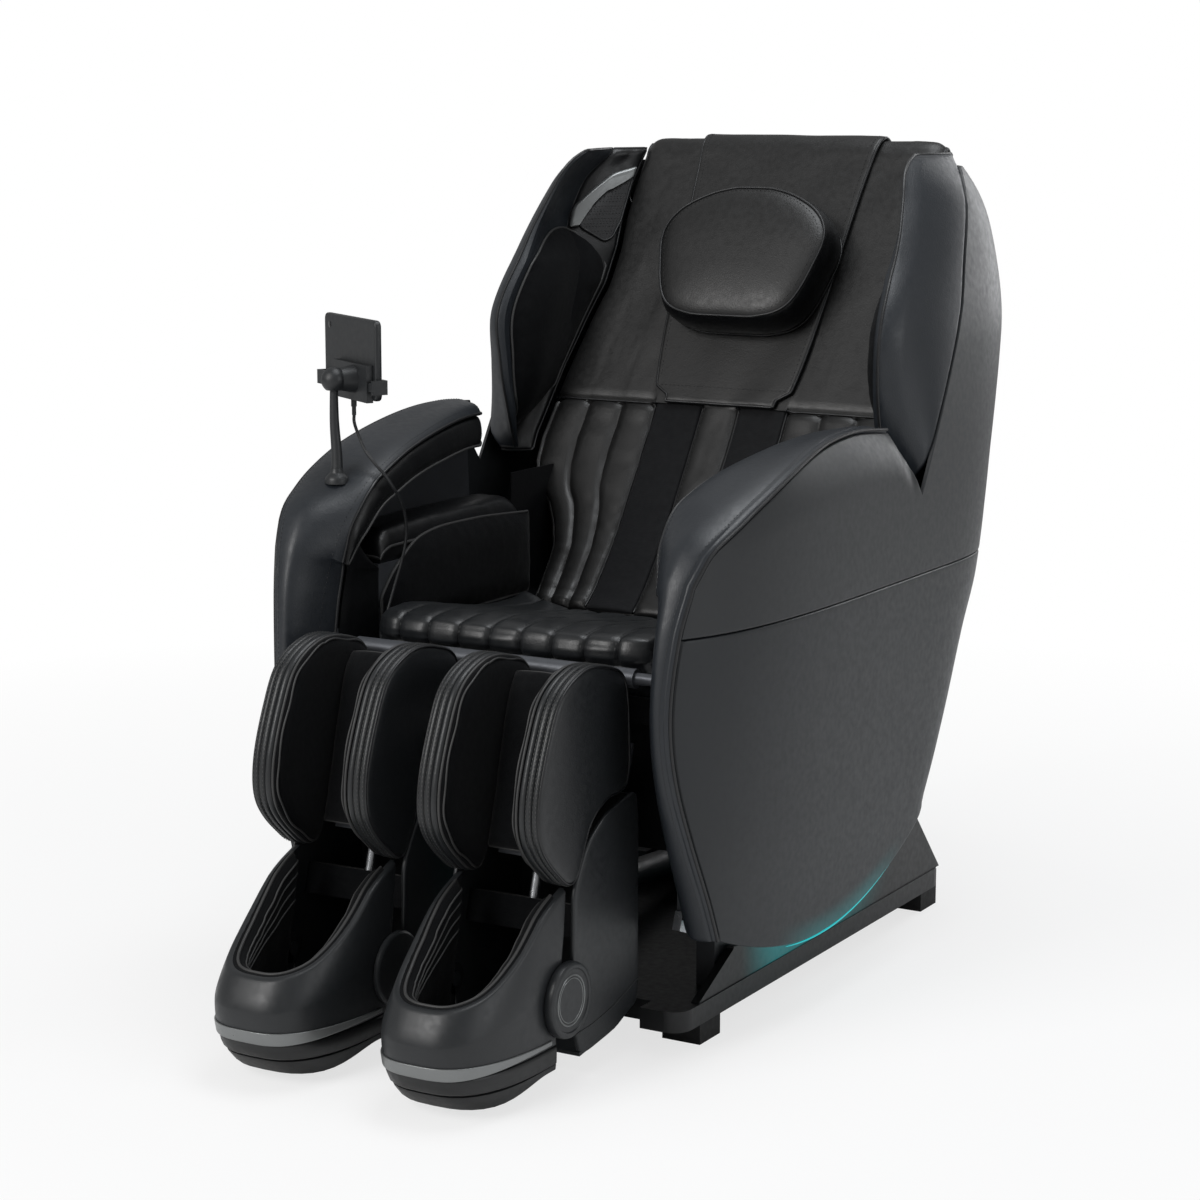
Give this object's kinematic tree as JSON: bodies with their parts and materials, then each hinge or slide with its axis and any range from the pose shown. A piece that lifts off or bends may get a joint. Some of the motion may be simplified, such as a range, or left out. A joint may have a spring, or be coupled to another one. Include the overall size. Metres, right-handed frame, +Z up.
{
  "type": "massage chair",
  "caption": "Reclining massage chair with wing sides, channelled seat, padded arms, lifting leg rest with foot boxes, and a tablet on a stalk.",
  "frame": {"origin": "on the floor, midway between the sides and midway between the front and the back of the whole chair", "axes": "+Z up; the chair faces -Y; +X is the sitter's left"},
  "size_m": [0.7658, 1.38, 1.1887],
  "materials": {
    "panel_plastic": "satin moulded plastic, dark grey",
    "cover_plastic": "satin moulded plastic, dark grey",
    "rear_plastic": "satin moulded plastic, mid grey",
    "tray_plastic": "matt black plastic",
    "foot_rubber": "matt black rubber",
    "switch_plastic": "gloss red plastic",
    "frame_steel": "powder-coated steel, dark grey",
    "bright_steel": "bright steel rod",
    "drive_plastic": "black plastic drive housing",
    "roller_plastic": "pale nylon",
    "light_plastic": "dim teal light strip",
    "silver_plastic": "silver painted plastic",
    "arm_leather": "dark grey synthetic leather, fine grain",
    "roll_leather": "near-black synthetic leather",
    "seat_leather": "dark grey synthetic leather, channelled",
    "back_leather": "dark grey synthetic leather, quilted",
    "pillow_leather": "dark grey soft synthetic leather",
    "leg_leather": "dark grey synthetic leather, stitched",
    "black_fabric": "black stretch fabric",
    "shell_plastic": "gloss dark grey plastic",
    "sole_plastic": "matt black plastic",
    "disc_plastic": "dark grey plastic disc with plain rings",
    "holder_plastic": "dark grey plastic",
    "tablet_plastic": "black glass-fronted tablet",
    "cable_rubber": "dark grey cable sheath"
  },
  "bodies": {
    "base": {"base_tray": "tray_plastic", "base_skirt": "panel_plastic", "base_feet": "foot_rubber", "glide_shoes": "tray_plastic", "control_box": "tray_plastic", "power_inlet": "tray_plastic"},
    "switch_rocker": {"power_switch": "switch_plastic"},
    "recline_motor": {"recline_drive": "drive_plastic"},
    "recline_slider": {"recline_rod": "bright_steel"},
    "recliner": {"arc_rails": "frame_steel", "seat_frame": "frame_steel", "arm_frames": "frame_steel", "back_frame": "frame_steel", "track_rods": "bright_steel", "leg_hinge_shaft": "bright_steel", "leg_drive": "drive_plastic", "side_panel_left": "panel_plastic", "side_panel_right": "panel_plastic", "upper_cover_left": "cover_plastic", "upper_cover_right": "cover_plastic", "rear_cover": "rear_plastic", "light_strips": "light_plastic", "arm_band_left": "arm_leather", "arm_band_right": "arm_leather", "arm_rolls": "roll_leather", "arm_rest_pads": "roll_leather", "hip_pads": "black_fabric", "wing_pad_left": "arm_leather", "wing_pad_right": "arm_leather", "shoulder_pads": "black_fabric", "speakers": "silver_plastic", "seat_cushion": "seat_leather", "seat_apron": "tray_plastic", "back_cushion": "back_leather", "head_flap": "pillow_leather", "head_pillow": "pillow_leather", "holder_stalk": "holder_plastic", "tablet_cable": "cable_rubber"},
    "carriage": {"massage_carriage": "frame_steel"},
    "kneading_arms": {"massage_arms": "roller_plastic"},
    "upper_rollers": {"massage_rollers_upper": "roller_plastic"},
    "lower_rollers": {"massage_rollers_lower": "roller_plastic"},
    "leg_slider": {"leg_rod": "bright_steel"},
    "legrest": {"leg_frame": "frame_steel", "calf_walls_left": "leg_leather", "calf_walls_right": "leg_leather", "calf_linings": "black_fabric", "calf_cushions": "black_fabric"},
    "footrest": {"slide_rods": "bright_steel", "lower_shell_left": "shell_plastic", "lower_shell_right": "shell_plastic", "pivot_discs": "disc_plastic"},
    "foot_box": {"foot_shell_left": "shell_plastic", "foot_shell_right": "shell_plastic", "foot_soles": "sole_plastic", "foot_liners": "black_fabric", "foot_trim": "silver_plastic"},
    "tablet_head": {"tablet_bracket": "holder_plastic", "tablet": "tablet_plastic"},
    "jaw": {"clamp_jaw": "holder_plastic"}
  },
  "joints": [
    {"name": "switch_tilt", "type": "hinge", "parent": "base", "child": "switch_rocker", "pos_m": [-0.128, 0.553, 0.048], "axis": [1, 0, 0], "range_deg": [0, 16]},
    {"name": "recline", "type": "hinge", "parent": "base", "child": "recliner", "pos_m": [0, -0.036, 0.728], "axis": [-1, 0, 0], "range_deg": [0, 25]},
    {"name": "recline_motor_pivot", "type": "hinge", "parent": "base", "child": "recline_motor", "pos_m": [0, 0.4, 0.095], "axis": [-1, 0, 0], "range_deg": [0, 3.2]},
    {"name": "recline_stroke", "type": "slide", "parent": "recline_motor", "child": "recline_slider", "axis": [0, -0.9978, 0.0663], "range_m": [0, 0.262]},
    {"name": "leg_lift", "type": "hinge", "parent": "recliner", "child": "legrest", "pos_m": [0, -0.29, 0.505], "axis": [-1, 0, 0], "range_deg": [0, 80]},
    {"name": "leg_stroke", "type": "slide", "parent": "recliner", "child": "leg_slider", "axis": [0, -0.866, 0.5], "range_m": [0, 0.104]},
    {"name": "foot_extend", "type": "slide", "parent": "legrest", "child": "footrest", "axis": [0, -0.2773, -0.9608], "range_m": [0, 0.13]},
    {"name": "foot_tilt", "type": "hinge", "parent": "footrest", "child": "foot_box", "pos_m": [0, -0.482, 0.122], "axis": [1, 0, 0], "range_deg": [0, 18]},
    {"name": "carriage_travel", "type": "slide", "parent": "recliner", "child": "carriage", "axis": [0, 0.518, 0.8554], "range_m": [-0.15, 0.2]},
    {"name": "kneading", "type": "hinge", "parent": "carriage", "child": "kneading_arms", "pos_m": [0, 0.42834, 0.72373], "axis": [1, 0, 0], "range_deg": [-5, 5]},
    {"name": "upper_roller_spin", "type": "hinge", "parent": "kneading_arms", "child": "upper_rollers", "pos_m": [0, 0.42484, 0.79132], "axis": [1, 0, 0], "continuous": true},
    {"name": "lower_roller_spin", "type": "hinge", "parent": "kneading_arms", "child": "lower_rollers", "pos_m": [0, 0.36683, 0.69552], "axis": [1, 0, 0], "continuous": true},
    {"name": "tablet_swivel", "type": "hinge", "parent": "recliner", "child": "tablet_head", "pos_m": [-0.29, -0.244, 0.867], "axis": [0, 0, 1], "range_deg": [-45, 45]},
    {"name": "jaw_slide", "type": "slide", "parent": "tablet_head", "child": "jaw", "axis": [0.8526, -0.5225, 0], "range_m": [0, 0.022]}
  ],
  "couplings": [
    {"joint": "recline_motor_pivot", "follows": "recline", "ratio": 0.1216},
    {"joint": "recline_stroke", "follows": "recline", "m_per_rad": 0.5913},
    {"joint": "leg_stroke", "follows": "leg_lift", "m_per_rad": 0.0736}
  ]
}
